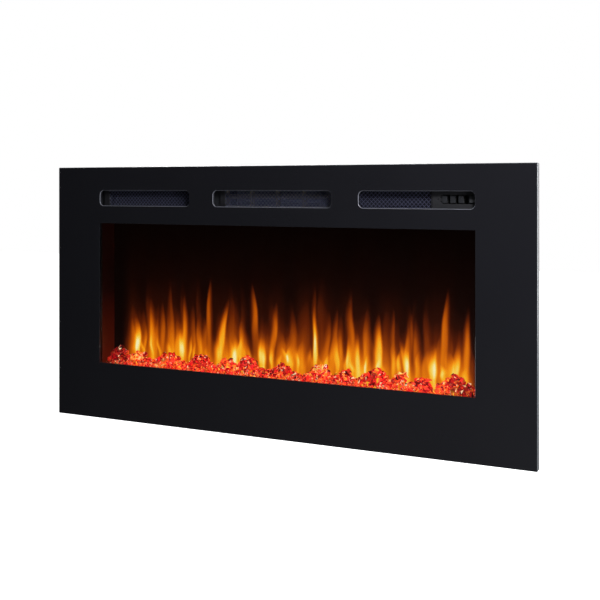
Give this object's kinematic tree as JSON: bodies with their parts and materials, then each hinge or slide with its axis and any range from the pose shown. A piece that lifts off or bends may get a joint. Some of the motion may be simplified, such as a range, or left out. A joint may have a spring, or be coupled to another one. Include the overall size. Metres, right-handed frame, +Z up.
{
  "type": "electric fireplace",
  "caption": "Flat wall-mounted electric fireplace: black glass front with air slots, keys, and a wide window onto lit flames and glass crystals.",
  "frame": {"origin": "centre of the back cover's outer face, where the fireplace meets the wall", "axes": "+X along the width to the viewer's right, +Y into the wall, +Z up; the glass front faces -Y"},
  "size_m": [0.914, 0.1, 0.457],
  "materials": {
    "black_glass": "toughened black glass, polished",
    "black_steel": "semi-matt black paint",
    "case_steel": "fine black powder coat",
    "bare_steel": "zinc-plated sheet steel",
    "firebox_liner": "gloss black enamel",
    "grille_mesh": "semi-matt black paint",
    "black_plastic": "fine moulded texture",
    "key_plastic": "satin grey",
    "flame_screen": "smoked translucent acrylic, lit from behind",
    "clear_plastic": "clear acrylic",
    "crystal": "broken clear and red glass, lit from below",
    "mirror": "polished aluminium foil",
    "circuit_board": "green solder mask",
    "mica": "mica board",
    "nichrome": "oxidised resistance wire",
    "copper": "enamelled copper wire",
    "nylon": "natural nylon",
    "rubber": "moulded rubber"
  },
  "bodies": {
    "chassis": {"front_plate": "case_steel", "top_panel": "case_steel", "bottom_panel": "case_steel", "left_panel": "case_steel", "right_panel": "case_steel", "back_cover": "case_steel", "cable_gland": "black_plastic", "cover_screw_upper_left": "bare_steel", "cover_screw_lower_left": "bare_steel", "cover_screw_upper_right": "bare_steel", "cover_screw_lower_right": "bare_steel", "grille_frame_left": "black_plastic", "grille_mesh_left": "grille_mesh", "grille_frame_center": "black_plastic", "grille_mesh_center": "grille_mesh", "grille_frame_right": "black_plastic", "grille_mesh_right": "grille_mesh", "control_plate": "black_plastic", "control_board": "circuit_board", "light_guide": "clear_plastic", "rocker_housing": "black_plastic", "firebox_liner_left": "firebox_liner", "firebox_liner_right": "firebox_liner", "top_baffle": "case_steel", "ember_tray": "clear_plastic", "crystal_bed": "crystal", "flame_screen": "flame_screen", "flame_stencil": "black_steel", "ember_led_board": "circuit_board", "flame_led_board": "circuit_board", "flicker_motor": "bare_steel", "flicker_motor_bracket": "bare_steel", "flicker_bearing": "nylon", "flicker_bearing_bracket": "bare_steel", "fan_housing": "bare_steel", "fan_bearing": "rubber", "motor_core": "bare_steel", "motor_winding": "copper", "motor_bearing": "bare_steel", "heater_duct": "bare_steel", "heater_frame": "mica", "heating_coil": "nichrome", "thermal_cutout": "black_plastic", "power_board": "circuit_board", "terminal_block": "nylon"},
    "front_panel": {"front_glass": "black_glass", "front_frame": "black_steel", "hook_upper_left": "bare_steel", "hook_lower_left": "bare_steel", "hook_upper_right": "bare_steel", "hook_lower_right": "bare_steel"},
    "flame_button": {"flame_button": "key_plastic"},
    "heat_button": {"heat_button": "key_plastic"},
    "timer_button": {"timer_button": "key_plastic"},
    "power_rocker": {"power_rocker": "key_plastic"},
    "fan_rotor": {"fan_wheel": "bare_steel", "fan_shaft": "bare_steel", "motor_rotor": "bare_steel"},
    "flicker_rotor": {"flicker_rod": "mirror", "flicker_coupler": "rubber"}
  },
  "joints": [
    {"name": "front_panel_lift", "type": "slide", "parent": "chassis", "child": "front_panel", "axis": [0, 0, 1], "range_m": [0, 0.009]},
    {"name": "flame_button_press", "type": "slide", "parent": "chassis", "child": "flame_button", "axis": [0, 1, 0], "range_m": [0, 0.0015], "stiffness_N_per_m": 600, "springref_m": -0.0008},
    {"name": "heat_button_press", "type": "slide", "parent": "chassis", "child": "heat_button", "axis": [0, 1, 0], "range_m": [0, 0.0015], "stiffness_N_per_m": 600, "springref_m": -0.0008},
    {"name": "timer_button_press", "type": "slide", "parent": "chassis", "child": "timer_button", "axis": [0, 1, 0], "range_m": [0, 0.0015], "stiffness_N_per_m": 600, "springref_m": -0.0008},
    {"name": "power_rocker_tilt", "type": "hinge", "parent": "chassis", "child": "power_rocker", "pos_m": [0.3526, -0.0886, 0.1732], "axis": [1, 0, 0], "range_deg": [0, 18]},
    {"name": "fan_spin", "type": "hinge", "parent": "chassis", "child": "fan_rotor", "pos_m": [0, -0.036, 0.1664], "axis": [1, 0, 0], "continuous": true},
    {"name": "flicker_spin", "type": "hinge", "parent": "chassis", "child": "flicker_rotor", "pos_m": [0, -0.024, -0.16], "axis": [1, 0, 0], "continuous": true}
  ]
}
